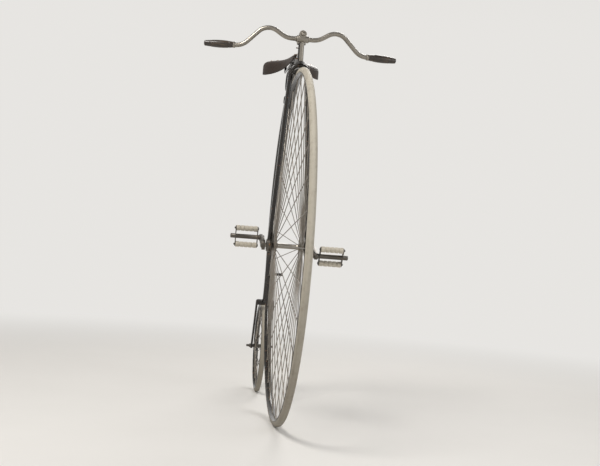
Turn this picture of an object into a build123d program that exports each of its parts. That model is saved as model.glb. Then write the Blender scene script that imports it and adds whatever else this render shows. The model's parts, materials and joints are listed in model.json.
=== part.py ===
# A penny farthing bicycle with direct-spoked wheels and solid tyres, in millimetres.
# +X is forward, +Y the rider's left and +Z up. The origin is the middle of the saddle's seat.
# "Along" is measured up the steering line from the front axle, "ahead" square to it towards the
# front and "out" sideways from the middle plane.
import os
from math import acos, asin, atan2, cos, degrees, radians, sin, sqrt

from build123d import *

os.makedirs("parts", exist_ok=True)

# Front wheel
front_radius = 660.0
front_tyre_width = 26.0
front_spokes_per_side = 30
front_spoke_diameter = 3.2
front_flange_radius = 52.0
front_flange_out = 50.0
front_flange_boss = 12.0
front_barrel_radius = 9.0
front_seat_radius = 12.0
front_axle_radius = 8.0
front_axle_stub = 2.0
front_boss_wall = 7.0

# Rear wheel
rear_radius = 203.0
rear_tyre_width = 20.0
rear_spokes_per_side = 12
rear_spoke_diameter = 2.8
rear_flange_radius = 24.0
rear_flange_out = 19.0
rear_flange_boss = 8.0
rear_barrel_radius = 8.5
rear_seat_radius = 10.0
rear_axle_radius = 5.0
rear_axle_stub = 12.0
rear_cone_radius = 7.5
rear_barrel_lip = 4.0
rear_boss_wall = 3.0

# A flange's thickened edge and its web, as shares of its radius and of its boss
flange_edge_share = 0.18
flange_edge_thickness = 0.75
flange_web_thickness = 0.4

# Tyres and rims
tyre_seat_share = 0.88
tyre_flat_count = 14
rim_flat_count = 8
rim_wall = 2.2
rim_gap = 0.3
rim_edge_share = 0.46
rim_land = 12.0
rim_land_depth = 1.5
spoke_land_out = 2.5

# Fit between a turning shaft and its bore, and between faces that turn past each other
running_clearance = 0.05
end_float = 1.0
moving_gap = 5.0

# Steering line and front fork
steering_lean = 4.0
crown_gap = 12.0
leg_top_depth = 32.0
leg_top_width = 18.0
leg_foot_depth = 24.0
leg_foot_width = 15.0
leg_top_out = 33.0
housing_width = 20.0
housing_radius = 24.0
housing_chamfer = 2.5
leg_foot_share = 0.7
bearing_gap = 3.5

# Steering head: a C of two plates and a front column, with the neck between the plates
head_plate = 10.0
head_plate_radius = 17.0
head_height = 70.0
head_column_depth = 16.0
head_column_width = 14.0
neck_boss_radius = 11.0
head_bolt_radius = 5.0
head_nut_radius = 12.0
head_nut_height = 14.0
head_nut_rounding = 9.0

# Handlebar: half of its line, as distance out, rise and distance ahead of the lug
bar_radius = 8.5
bar_lug_radius = 13.0
bar_lug_length = 44.0
bar_lug_ahead = 27.0
lug_boss_radius = 14.0
lug_boss_rise = 17.0
lug_boss_recess = 3.0
bar_line = [
    (60.0, 0.0, 0.0),
    (134.0, 48.0, -2.0),
    (222.0, -42.0, -12.0),
    (350.0, -42.0, -24.0),
]
bar_bends = [70.0, 55.0, 60.0]
grip_length = 116.0
grip_neck_radius = 10.5
grip_swell_radius = 14.5
grip_end_share = 0.12
grip_end_rounding = 4.0

# Backbone, a tapered tube that follows the front wheel and then turns back to the rear wheel
backbone_gap = 22.0
backbone_start = 104.0
backbone_top_radius = 17.0
backbone_middle_radius = 14.5
backbone_foot_radius = 12.5
backbone_return_radius = 350.0
rear_fork_slope = 30.0
rear_crown_gap = 38.0

# Neck, from the head's boss down to the backbone
neck_drop = 3.5
neck_front_width = 18.0
neck_front_height = 54.0
neck_knee_drop = 8.0
neck_knee_back = 58.0
neck_knee_slope = 22.0
neck_knee_width = 25.0
neck_knee_height = 36.0

# Rear fork
rear_crown_height = 14.0
rear_crown_depth = 24.0
rear_blade_top_depth = 22.0
rear_blade_foot_depth = 15.0
rear_blade_thickness = 8.0
rear_fork_end_radius = 12.0
rear_nut_radius = 8.5
rear_nut_height = 7.0

# Cranks and pedals
crank_angle = -11.0
crank_throw = 135.0
crank_thickness = 11.0
crank_boss_radius = 19.0
crank_tip_radius = 12.0
crank_slot_width = 12.4
crank_slot_near = 104.0
crank_slot_far = 142.0
pedal_pin_radius = 6.0
pedal_pin_collar = 6.0
pedal_nut_height = 7.0
pedal_nut_radius = 11.0
pedal_collar_radius = 10.0
pedal_width = 86.0
pedal_plate = 3.0
pedal_plate_depth = 17.0
pedal_tube_radius = 8.5
pedal_rubber_offset = 31.0
pedal_rubber_radius = 10.5
pedal_rubber_grooves = 4
pedal_groove_width = 4.0
pedal_groove_depth = 2.2
pedal_cap_height = 15.0
pedal_left_angle = 55.0
pedal_right_angle = 88.0

# Saddle: each leather section is an arch with upright flanks and rounded shoulders, as distance
# ahead, half width, top, drop, shoulder radius and flank height
seat_setback = 265.0
saddle_stack = 80.0
leather_thickness = 5.0
leather_sections = [
    (118.0, 19.0, -6.0, 25.0, 13.0, 8.0),
    (78.0, 26.0, -1.5, 34.0, 17.0, 12.0),
    (0.0, 48.0, 0.0, 53.0, 24.0, 19.0),
    (-100.0, 109.0, 3.0, 68.0, 30.0, 27.0),
    (-162.0, 104.0, 12.0, 60.0, 28.0, 20.0),
]
seat_plan_margin = 6.0
seat_corner_radius = 60.0
rail_radius = 4.0
rail_out = 18.0
rail_lift = 1.0
nose_block_length = 12.0
nose_block_width = 16.0
nose_block_setback = 20.0
cantle_thickness = 7.0
cantle_depth = 11.0
cantle_post_width = 9.0

# Saddle spring, with the clips that hold the rails on it and the shackle on the backbone
spring_width = 28.0
spring_thickness = 5.0
spring_top = -43.5
spring_front = 92.0
spring_back = -126.0
spring_curl_radius = 35.0
spring_tail = 26.0
spring_seat_length = 26.0
spring_seat_width = 20.0
rail_clips = [40.0, -60.0]
rail_clip_length = 20.0
shackle_wall = 4.0
shackle_lug_length = 22.0
shackle_lug_width = 20.0
shackle_length = 22.0

# Mounting step, on the left of the backbone
step_slope = 9.0
step_reach = 62.0
step_depth = 26.0
step_thickness = 9.0
step_teeth = 5
step_tooth_pitch = 8.0
step_tooth_height = 4.0
step_root_radius = 10.0

# Places worked out from the sizes above
seat_plan_half_width = max(section[1] for section in leather_sections) + seat_plan_margin
lean = radians(steering_lean)
left = Vector(0, 1, 0)
up_line = Vector(-sin(lean), 0, cos(lean))
ahead_line = Vector(cos(lean), 0, sin(lean))
backbone_path_radius = front_radius + backbone_gap + backbone_top_radius
backbone_outer_radius = backbone_path_radius + backbone_top_radius
seat_rise = sqrt(backbone_outer_radius**2 - seat_setback**2) + saddle_stack
front_hub = Vector(seat_setback, 0, -seat_rise)

housing_in = front_flange_out + front_flange_boss / 2 + bearing_gap
housing_mid = housing_in + housing_width / 2
crank_in = housing_in + housing_width + moving_gap
crank_out = crank_in + crank_thickness
pedal_in = crank_out + pedal_pin_collar + end_float
pedal_out = pedal_in + pedal_width

crown_base = front_radius + crown_gap - leg_top_out + leg_top_width / 2
crown_top = crown_base + leg_top_out + leg_top_width / 2
lower_plate_top = crown_top + head_plate / 4
upper_plate_base = lower_plate_top + head_height
upper_plate_top = upper_plate_base + head_plate
column_ahead = neck_boss_radius + moving_gap + head_column_depth / 2
bar_along = upper_plate_base + bar_lug_radius

# The backbone's lower end: the rear fork's length fixes its foot, and the return bend its start
fork_slope = radians(rear_fork_slope)
rear_fork_length = rear_radius + rear_crown_gap
foot_drop = rear_radius - front_radius + rear_fork_length * cos(fork_slope)
return_sine = (foot_drop + backbone_return_radius * sin(fork_slope)) / (
    backbone_path_radius + backbone_return_radius
)
backbone_end = 180 - degrees(asin(return_sine))
return_turn = rear_fork_slope + backbone_end - 180


def side_plane(origin=front_hub):
    """The middle plane seen from the right: x forward, y up."""
    return Plane(origin, x_dir=(1, 0, 0), z_dir=(0, -1, 0))


def steer_point(along, ahead=0.0, out=0.0):
    """A point by its distance up the steering line, ahead of it and to the left."""
    return front_hub + up_line * along + ahead_line * ahead + left * out


def steer_plane(along, ahead=0.0, out=0.0):
    """A plane square to the steering line: x ahead, y left."""
    return Plane(steer_point(along, ahead, out), x_dir=ahead_line, z_dir=up_line)


def around_hub(angle, radius):
    """A point in the middle plane by its angle from forward and its distance from the hub."""
    return front_hub + Vector(cos(radians(angle)), 0, sin(radians(angle))) * radius


return_centre = around_hub(backbone_end, backbone_path_radius + backbone_return_radius)


def on_return(slope):
    """The point of the return bend where the tube slopes back by that angle."""
    turn = radians(slope)
    return return_centre + Vector(cos(turn), 0, -sin(turn)) * backbone_return_radius


def back_and_down(slope):
    """The direction that goes down and leans back by that angle."""
    return Vector(-sin(radians(slope)), 0, -cos(radians(slope)))


backbone_foot = on_return(rear_fork_slope)
rear_hub = backbone_foot + back_and_down(rear_fork_slope) * rear_fork_length


def export(node, name):
    """Labels a finished piece and writes it as its own node."""
    node.part.label = name
    export_step(node.part, f"parts/{name}.step")


# Wheels: tyre, rim and two flanges, each flange one solid with the spokes it carries
def round_points(middle, radius, first, last, flats):
    """Points round a tyre's section, by angle from inwards, as distance out and across."""
    turns = [radians(first + (last - first) * flat / flats) for flat in range(flats + 1)]
    return [(middle - radius * cos(turn), radius * sin(turn)) for turn in turns]


def make_tyre(name, centre, radius, width):
    section_radius = width / 2
    seat_turn = degrees(acos(tyre_seat_share))
    points = round_points(
        radius - section_radius, section_radius, seat_turn, 360 - seat_turn, tyre_flat_count
    )
    with BuildPart() as tyre:
        with BuildSketch(Plane(centre, x_dir=(1, 0, 0), z_dir=(0, 0, 1))):
            with BuildLine():
                Polyline(*points, close=True)
            make_face()
        revolve(axis=Axis(centre, left))
    export(tyre, f"{name}_tyre")


def rim_land_radius(radius, width):
    """The radius of the rim's inner face, where its spokes end."""
    return radius - width - rim_gap - rim_wall - rim_land_depth


def make_rim(name, centre, radius, width):
    middle = radius - width / 2
    edge = rim_edge_share * width / 2
    inner_radius = width / 2 + rim_gap
    outer_radius = inner_radius + rim_wall
    outer_turn = degrees(acos(edge / outer_radius))
    inner_turn = degrees(acos(edge / inner_radius))
    points = round_points(middle, outer_radius, -outer_turn, outer_turn, rim_flat_count)
    points += round_points(middle, inner_radius, inner_turn, -inner_turn, rim_flat_count)
    inner_face = rim_land_radius(radius, width)
    seat = middle - tyre_seat_share * width / 2
    with BuildPart() as rim:
        with BuildSketch(Plane(centre, x_dir=(1, 0, 0), z_dir=(0, 0, 1))):
            with BuildLine():
                Polyline(*points, close=True)
            make_face()
            with Locations((inner_face, 0)):
                Rectangle(seat - inner_face, rim_land, align=(Align.MIN, Align.CENTER))
        revolve(axis=Axis(centre, left))
    export(rim, f"{name}_rim")


def make_spokes(name, side_name, side, centre, sizes, first_angle):
    """A hub flange on one side, with the straight spokes that run from it to the rim."""
    flange_plane = Plane(centre, x_dir=(1, 0, 0), z_dir=left * side)
    rim_ring = sizes["flange"] * flange_edge_share
    with BuildPart() as spoke:
        start = Vector(sizes["flange"] - rim_ring / 2, 0, sizes["out"])
        finish = Vector(sizes["land"] + rim_wall, 0, spoke_land_out)
        with BuildSketch(Plane(start, z_dir=finish - start)):
            Circle(sizes["spoke"] / 2)
        extrude(amount=(finish - start).length)
        with BuildSketch(Plane.XY):
            Circle(sizes["land"])
        extrude(amount=2 * sizes["out"], mode=Mode.INTERSECT)
    with BuildPart(flange_plane) as flange:
        with BuildSketch(Plane(centre, x_dir=(1, 0, 0), z_dir=(0, 0, 1))):
            for inner, outer, thickness in (
                (sizes["seat"], sizes["boss_radius"], sizes["boss"]),
                (sizes["seat"], sizes["flange"], sizes["boss"] * flange_web_thickness),
                (
                    sizes["flange"] - rim_ring,
                    sizes["flange"],
                    sizes["boss"] * flange_edge_thickness,
                ),
            ):
                with Locations(((inner + outer) / 2, side * sizes["out"])):
                    Rectangle(outer - inner, thickness)
        revolve(axis=Axis(centre, left))
        with PolarLocations(0, sizes["count"], start_angle=first_angle):
            add(spoke.part)
    export(flange, f"{name}_spokes_{side_name}")


wheel_table = [
    # name, centre, radius, tyre width, spoke and flange sizes
    (
        "front",
        front_hub,
        front_radius,
        front_tyre_width,
        {
            "flange": front_flange_radius,
            "out": front_flange_out,
            "boss": front_flange_boss,
            "boss_radius": front_seat_radius + front_boss_wall,
            "seat": front_seat_radius,
            "spoke": front_spoke_diameter,
            "count": front_spokes_per_side,
            "land": rim_land_radius(front_radius, front_tyre_width),
        },
    ),
    (
        "rear",
        rear_hub,
        rear_radius,
        rear_tyre_width,
        {
            "flange": rear_flange_radius,
            "out": rear_flange_out,
            "boss": rear_flange_boss,
            "boss_radius": rear_seat_radius + rear_boss_wall,
            "seat": rear_seat_radius,
            "spoke": rear_spoke_diameter,
            "count": rear_spokes_per_side,
            "land": rim_land_radius(rear_radius, rear_tyre_width),
        },
    ),
]
sides = [("left", 1), ("right", -1)]

for wheel_name, wheel_centre, wheel_radius, tyre_width, spoke_sizes in wheel_table:
    make_tyre(wheel_name, wheel_centre, wheel_radius, tyre_width)
    make_rim(wheel_name, wheel_centre, wheel_radius, tyre_width)
    for side_name, side in sides:
        half_step = 180 / spoke_sizes["count"] if side > 0 else 0
        make_spokes(wheel_name, side_name, side, wheel_centre, spoke_sizes, half_step)


def stepped_shaft(centre, steps, bore=0.0):
    """A turned part on a wheel's axis from (distance out, radius) steps, the same on both sides."""
    points = [(bore, 0)]
    reached = 0.0
    for out, radius in steps:
        points += [(radius, reached), (radius, out)]
        reached = out
    points.append((bore, reached))
    with BuildPart() as shaft:
        with BuildSketch(Plane(centre, x_dir=(1, 0, 0), z_dir=(0, 0, 1))):
            with BuildLine():
                Polyline(*points, close=True)
            make_face()
        revolve(axis=Axis(centre, left))
        mirror(about=Plane(centre, z_dir=left))
    return shaft


# Front axle, one stepped shaft with its barrel between the flanges
flange_inner_face = front_flange_out - front_flange_boss / 2
flange_outer_face = front_flange_out + front_flange_boss / 2
front_axle = stepped_shaft(
    front_hub,
    [
        (flange_inner_face, front_barrel_radius),
        (flange_outer_face, front_seat_radius),
        (crank_out + front_axle_stub, front_axle_radius),
    ],
)
export(front_axle, "front_axle")

# Rear hub, a barrel that turns on the fixed rear axle
rear_barrel_end = rear_flange_out + rear_flange_boss / 2 + rear_barrel_lip
rear_flange_inner_face = rear_flange_out - rear_flange_boss / 2
rear_flange_outer_face = rear_flange_out + rear_flange_boss / 2
rear_barrel = stepped_shaft(
    rear_hub,
    [
        (rear_flange_inner_face, rear_barrel_radius),
        (rear_flange_outer_face, rear_seat_radius),
        (rear_barrel_end, rear_barrel_radius),
    ],
    bore=rear_axle_radius + running_clearance,
)
export(rear_barrel, "rear_hub")

rear_blade_in = rear_barrel_end + moving_gap
rear_blade_mid = rear_blade_in + rear_blade_thickness / 2
rear_blade_out = rear_blade_in + rear_blade_thickness
rear_nut_out = rear_blade_out + rear_nut_height

# Fixed rear axle with a cone inside each fork end and a nut outside it
rear_axle = stepped_shaft(
    rear_hub,
    [
        (rear_barrel_end + end_float / 2, rear_axle_radius),
        (rear_blade_in, rear_cone_radius),
        (rear_blade_out, rear_axle_radius),
        (rear_nut_out, rear_nut_radius),
        (rear_nut_out + rear_axle_stub, rear_axle_radius),
    ],
)
export(rear_axle, "rear_axle")


# Bearing housings on the front axle, and the fork legs that stand on them
for side_name, side in sides:
    housing_plane = Plane(front_hub + left * side * housing_in, z_dir=left * side)
    with BuildPart() as housing:
        with BuildSketch(housing_plane):
            Circle(housing_radius)
        extrude(amount=housing_width)
        chamfer(housing.edges().filter_by(GeomType.CIRCLE), housing_chamfer)
        with BuildSketch(housing_plane):
            Circle(front_axle_radius + running_clearance)
        extrude(amount=housing_width, mode=Mode.SUBTRACT)
    export(housing, f"bearing_housing_{side_name}")

    leg_foot_along = housing_radius * leg_foot_share
    with BuildPart() as leg:
        with BuildSketch(steer_plane(leg_foot_along, out=side * housing_mid)):
            SlotOverall(leg_foot_depth, leg_foot_width)
        with BuildSketch(steer_plane(crown_base, out=side * leg_top_out)):
            SlotOverall(leg_top_depth, leg_top_width)
        loft(ruled=True)
        with BuildSketch(housing_plane.offset(-housing_width)):
            Circle(housing_radius)
        extrude(amount=3 * housing_width, mode=Mode.SUBTRACT)
    export(leg, f"fork_leg_{side_name}")


# Fork crown: the legs' own section turned over the tyre, with the head's lower plate on top
with BuildPart() as fork_crown:
    with BuildSketch(steer_plane(crown_base, out=leg_top_out)):
        SlotOverall(leg_top_depth, leg_top_width)
    revolve(axis=Axis(steer_point(crown_base), ahead_line * -1), revolution_arc=-180)
    with BuildSketch(steer_plane(lower_plate_top - head_plate)):
        Circle(head_plate_radius)
        with Locations((column_ahead, 0)):
            SlotOverall(head_column_depth, head_column_width)
        make_hull()
    extrude(amount=head_plate)
    with BuildSketch(steer_plane(lower_plate_top)):
        Circle(head_bolt_radius)
    extrude(amount=-head_plate, mode=Mode.SUBTRACT)
export(fork_crown, "fork_crown")

# Steering head: front column, upper plate and the lug that holds the handlebar, with a round
# boss above the lug that faces the front
lug_plane = Plane(steer_point(bar_along, bar_lug_ahead, -bar_lug_length / 2), z_dir=left)
lug_front = bar_lug_ahead + bar_lug_radius
boss_plane = Plane(steer_point(bar_along + lug_boss_rise, lug_front), z_dir=ahead_line)
with BuildPart() as steering_head:
    with BuildSketch(steer_plane(lower_plate_top, ahead=column_ahead)):
        SlotOverall(head_column_depth, head_column_width)
    extrude(amount=upper_plate_top - lower_plate_top)
    with BuildSketch(steer_plane(upper_plate_base)):
        Circle(head_plate_radius)
        with Locations((column_ahead, 0)):
            SlotOverall(head_column_depth, head_column_width)
        make_hull()
    extrude(amount=head_plate)
    with BuildSketch(lug_plane):
        Circle(bar_lug_radius)
    extrude(amount=bar_lug_length)
    with BuildSketch(boss_plane):
        Circle(lug_boss_radius)
    extrude(amount=-2 * bar_lug_radius)
    with BuildSketch(boss_plane):
        Circle(lug_boss_radius - 2 * lug_boss_recess)
    extrude(amount=-lug_boss_recess, mode=Mode.SUBTRACT)
    with BuildSketch(lug_plane):
        Circle(bar_radius)
    extrude(amount=bar_lug_length, mode=Mode.SUBTRACT)
    with BuildSketch(steer_plane(upper_plate_base)):
        Circle(head_bolt_radius)
    extrude(amount=head_plate, mode=Mode.SUBTRACT)
export(steering_head, "steering_head")

# Centre bolt through the plates and the neck, with a domed nut
with BuildPart() as head_bolt:
    with BuildSketch(steer_plane(lower_plate_top - head_plate)):
        Circle(head_bolt_radius)
    extrude(amount=upper_plate_top - lower_plate_top + head_plate)
    with BuildSketch(steer_plane(upper_plate_top)):
        Circle(head_nut_radius)
    extrude(amount=head_nut_height)
    nut_edges = head_bolt.edges().filter_by(GeomType.CIRCLE)
    fillet(nut_edges.sort_by(Axis(front_hub, up_line))[-1], head_nut_rounding)
export(head_bolt, "head_bolt")

# Neck: a boss between the head's plates and an arm that bends down to the backbone
backbone_start_point = around_hub(backbone_start, backbone_path_radius)
backbone_start_direction = Vector(
    -sin(radians(backbone_start)), 0, cos(radians(backbone_start))
)
knee_slope = radians(neck_knee_slope)
neck_along = (lower_plate_top + upper_plate_base) / 2 - neck_drop
neck_sections = [
    # centre, direction, width and height
    (steer_point(neck_along, -end_float), ahead_line * -1, neck_front_width, neck_front_height),
    (
        steer_point(neck_along - neck_knee_drop, -neck_knee_back),
        Vector(-cos(knee_slope), 0, -sin(knee_slope)),
        neck_knee_width,
        neck_knee_height,
    ),
    (
        backbone_start_point,
        backbone_start_direction,
        2 * backbone_top_radius,
        2 * backbone_top_radius,
    ),
]
with BuildPart() as neck:
    for centre, direction, width, height in neck_sections:
        with BuildSketch(Plane(centre, x_dir=left, z_dir=direction)):
            Ellipse(width / 2, height / 2)
    loft()
    with BuildSketch(steer_plane(lower_plate_top + end_float)):
        Circle(neck_boss_radius)
    extrude(amount=head_height - 2 * end_float)
    with BuildSketch(steer_plane(lower_plate_top)):
        Circle(head_bolt_radius + running_clearance)
    extrude(amount=head_height, mode=Mode.SUBTRACT)
export(neck, "neck")

# Backbone: two tapered bends, one round the front wheel and one back to the rear fork
with BuildPart() as backbone:
    with BuildLine(side_plane()) as wheel_bend:
        CenterArc((0, 0), backbone_path_radius, backbone_start, backbone_end - backbone_start)
    with BuildLine(side_plane(return_centre)) as return_bend:
        CenterArc((0, 0), backbone_return_radius, backbone_end - 180, -return_turn)
    for bend, first_radius, last_radius in (
        (wheel_bend, backbone_top_radius, backbone_middle_radius),
        (return_bend, backbone_middle_radius, backbone_foot_radius),
    ):
        tube_path = bend.wires()[0]
        tube_sections = []
        for share, radius in ((0, first_radius), (1, last_radius)):
            with BuildSketch(
                Plane(tube_path @ share, x_dir=left, z_dir=tube_path % share)
            ) as ring:
                Circle(radius)
            tube_sections.append(ring.sketch)
        sweep(sections=tube_sections, path=tube_path, multisection=True)
export(backbone, "backbone")

# Rear fork: a crown under the backbone's foot and two tapered blades to the rear axle
fork_direction = back_and_down(rear_fork_slope)
crown_across = 2 * rear_blade_out
with BuildPart() as rear_fork:
    with BuildSketch(Plane(backbone_foot, x_dir=left, z_dir=fork_direction)):
        SlotOverall(crown_across, rear_crown_depth)
    extrude(amount=rear_crown_height)
    for side_name, side in sides:
        blade_top = backbone_foot + fork_direction * rear_crown_height / 2
        blade_top += left * side * rear_blade_mid
        blade_foot = rear_hub + left * side * rear_blade_mid
        with BuildPart(mode=Mode.PRIVATE) as blade:
            for centre, depth in (
                (blade_top, rear_blade_top_depth),
                (blade_foot, rear_blade_foot_depth),
            ):
                with BuildSketch(Plane(centre, x_dir=left, z_dir=fork_direction)):
                    Rectangle(rear_blade_thickness, depth)
            loft()
        add(blade.part)
        with BuildSketch(Plane(rear_hub + left * side * rear_blade_in, z_dir=left * side)):
            Circle(rear_fork_end_radius)
        extrude(amount=rear_blade_thickness)
    with BuildSketch(Plane(rear_hub, z_dir=left)):
        Circle(rear_axle_radius)
    extrude(amount=2 * rear_blade_out, both=True, mode=Mode.SUBTRACT)
export(rear_fork, "rear_fork")

# Handlebar: one tube through the head's lug, and a turned grip on each end
bar_centre = steer_point(bar_along, bar_lug_ahead)


def bar_point(out, rise, ahead, side):
    """A point of the handlebar's line on one side."""
    return bar_centre + left * side * out + up_line * rise + ahead_line * ahead


bar_points = [bar_point(*point, -1) for point in reversed(bar_line)]
bar_points += [bar_point(*point, 1) for point in bar_line]
with BuildPart() as handlebar:
    with BuildLine() as bar_path:
        FilletPolyline(*bar_points, radius=list(reversed(bar_bends)) + bar_bends)
    with BuildSketch(Plane(bar_points[0], z_dir=bar_points[1] - bar_points[0])):
        Circle(bar_radius)
    sweep(path=bar_path.wires()[0])
export(handlebar, "handlebar")

for side_name, side in sides:
    bar_end = bar_point(*bar_line[-1], side)
    outward = (bar_end - bar_point(*bar_line[-2], side)).normalized()
    grip_plane = Plane(bar_end, x_dir=up_line, z_dir=outward.cross(up_line))
    # The grip's outline runs along the local y axis, from its neck to its closed end
    along_sign = 1 if grip_plane.y_dir.dot(outward) > 0 else -1
    with BuildPart() as grip:
        with BuildSketch(grip_plane):
            with BuildLine():
                neck_at = -grip_length * (1 - grip_end_share) * along_sign
                end_at = grip_length * grip_end_share * along_sign
                swell_at = (neck_at + end_at) / 2
                Line((0, neck_at), (grip_neck_radius, neck_at))
                ThreePointArc(
                    (grip_neck_radius, neck_at),
                    (grip_swell_radius, swell_at),
                    (grip_neck_radius, end_at),
                )
                Line((grip_neck_radius, end_at), (0, end_at))
                Line((0, end_at), (0, neck_at))
            make_face()
        revolve(axis=Axis(bar_end, outward))
        grip_end = grip.edges().filter_by(GeomType.CIRCLE).sort_by(Axis(bar_end, outward))[-1]
        fillet(grip_end, grip_end_rounding)
        with BuildSketch(Plane(bar_end, z_dir=outward * -1)):
            Circle(bar_radius)
        extrude(amount=grip_length, mode=Mode.SUBTRACT)
    export(grip, f"grip_{side_name}")

# Cranks, fixed to the axle half a turn apart, each with its pedal pin in the slot
for side_name, side in sides:
    angle = radians(crank_angle + (0 if side > 0 else 180))
    along_crank = Vector(cos(angle), 0, sin(angle))
    crank_plane = Plane(
        front_hub + left * side * crank_in, x_dir=along_crank, z_dir=left * side
    )
    with BuildPart() as crank:
        with BuildSketch(crank_plane):
            with BuildSketch(Plane.XY, mode=Mode.PRIVATE) as crank_ends:
                Circle(crank_boss_radius)
                with Locations((crank_slot_far, 0)):
                    Circle(crank_tip_radius)
            make_hull(crank_ends.edges())
            Circle(front_axle_radius, mode=Mode.SUBTRACT)
            with Locations(((crank_slot_near + crank_slot_far) / 2, 0)):
                SlotCenterToCenter(
                    crank_slot_far - crank_slot_near, crank_slot_width, mode=Mode.SUBTRACT
                )
        extrude(amount=crank_thickness)
    export(crank, f"crank_{side_name}")

    pin_foot = front_hub + along_crank * crank_throw
    with BuildPart() as pedal_pin:
        for start_out, end_out, radius in (
            (crank_in - pedal_nut_height, crank_in, pedal_nut_radius),
            (crank_in, pedal_out + end_float, pedal_pin_radius),
            (crank_out, crank_out + pedal_pin_collar, pedal_collar_radius),
        ):
            with BuildSketch(Plane(pin_foot + left * side * start_out, z_dir=left * side)):
                Circle(radius)
            extrude(amount=end_out - start_out)
    export(pedal_pin, f"pedal_pin_{side_name}")

    # Pedal: a tube and two end plates, with a rubber block each side of the tube
    pedal_angle = pedal_left_angle if side > 0 else pedal_right_angle
    across = Vector(cos(radians(pedal_angle)), 0, sin(radians(pedal_angle)))
    pedal_plane = Plane(pin_foot + left * side * pedal_in, x_dir=across, z_dir=left * side)
    with BuildPart() as cage:
        with BuildSketch(pedal_plane):
            Circle(pedal_tube_radius)
        extrude(amount=pedal_width)
        for plate_at in (0, pedal_width - pedal_plate):
            with BuildSketch(pedal_plane.offset(plate_at)):
                SlotCenterToCenter(2 * pedal_rubber_offset, pedal_plate_depth)
            extrude(amount=pedal_plate)
        with BuildSketch(pedal_plane):
            Circle(pedal_pin_radius + running_clearance)
        extrude(amount=pedal_width, mode=Mode.SUBTRACT)
        with BuildSketch(pedal_plane.offset(pedal_width)):
            Circle(pedal_tube_radius)
            Circle(pedal_pin_radius + running_clearance, mode=Mode.SUBTRACT)
        extrude(amount=2 * end_float)
        with BuildSketch(pedal_plane.offset(pedal_width + 2 * end_float)):
            Circle(pedal_tube_radius)
        extrude(amount=pedal_cap_height)
    export(cage, f"pedal_cage_{side_name}")

    # Each rubber is a round block with rings cut round it at an even pitch
    rubber_length = pedal_width - 2 * pedal_plate
    groove_pitch = rubber_length / (pedal_rubber_grooves + 1)
    rubber_places = Locations((-pedal_rubber_offset, 0), (pedal_rubber_offset, 0))
    with BuildPart() as rubbers:
        with BuildSketch(pedal_plane.offset(pedal_plate)):
            with rubber_places:
                Circle(pedal_rubber_radius)
        extrude(amount=rubber_length)
        for groove in range(pedal_rubber_grooves):
            groove_at = pedal_plate + (groove + 1) * groove_pitch - pedal_groove_width / 2
            with BuildSketch(pedal_plane.offset(groove_at)):
                with rubber_places:
                    Circle(2 * pedal_rubber_radius)
                    Circle(pedal_rubber_radius - pedal_groove_depth, mode=Mode.SUBTRACT)
            extrude(amount=pedal_groove_width, mode=Mode.SUBTRACT)
    export(rubbers, f"pedal_rubbers_{side_name}")


# Saddle leather: a thin shell lofted through arches with a constant wall
def arch_band(section, outer_inset, inner_inset):
    """An arch across the saddle as a sketch, its two edges taken in by the insets."""
    ahead, half_width, top, drop, shoulder, flank = section
    foot = top - drop
    shoulder_out = half_width - shoulder
    shoulder_height = foot + flank
    rise = top - shoulder_height
    # The crown's arc is the one through the top that meets both shoulders smoothly
    crown_radius = (shoulder_out**2 + rise**2 - shoulder**2) / (2 * (rise - shoulder))
    crown_middle = top - crown_radius
    shoulder_turn = degrees(atan2(shoulder_height - crown_middle, shoulder_out))
    with BuildSketch(Plane((ahead, 0, 0), x_dir=(0, 1, 0), z_dir=(1, 0, 0))) as band:
        with BuildLine():
            for inset in (outer_inset, inner_inset):
                radius = shoulder - inset
                wall = half_width - inset
                CenterArc((shoulder_out, shoulder_height), radius, 0, shoulder_turn)
                CenterArc(
                    (0, crown_middle), crown_radius - inset, shoulder_turn, 180 - 2 * shoulder_turn
                )
                CenterArc(
                    (-shoulder_out, shoulder_height), radius, 180 - shoulder_turn, shoulder_turn
                )
                for side in (-1, 1):
                    Line((side * wall, shoulder_height), (side * wall, foot))
            for side in (-1, 1):
                Line(
                    (side * (half_width - outer_inset), foot),
                    (side * (half_width - inner_inset), foot),
                )
        make_face()
    return band.sketch


def seat_plan(inset):
    """The saddle's outline from above, open far ahead of the nose, taken in by an inset."""
    length = 2 * (leather_sections[0][0] - leather_sections[-1][0])
    with BuildSketch() as plan:
        with Locations((leather_sections[-1][0] + inset, 0)):
            RectangleRounded(
                length,
                2 * (seat_plan_half_width - inset),
                seat_corner_radius - inset,
                align=(Align.MIN, Align.CENTER),
            )
    return plan.sketch


with BuildPart() as saddle_leather:
    loft(sections=[arch_band(section, 0, leather_thickness) for section in leather_sections])
    extrude(seat_plan(0), amount=seat_plan_half_width, both=True, mode=Mode.INTERSECT)
export(saddle_leather, "saddle_leather")

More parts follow.
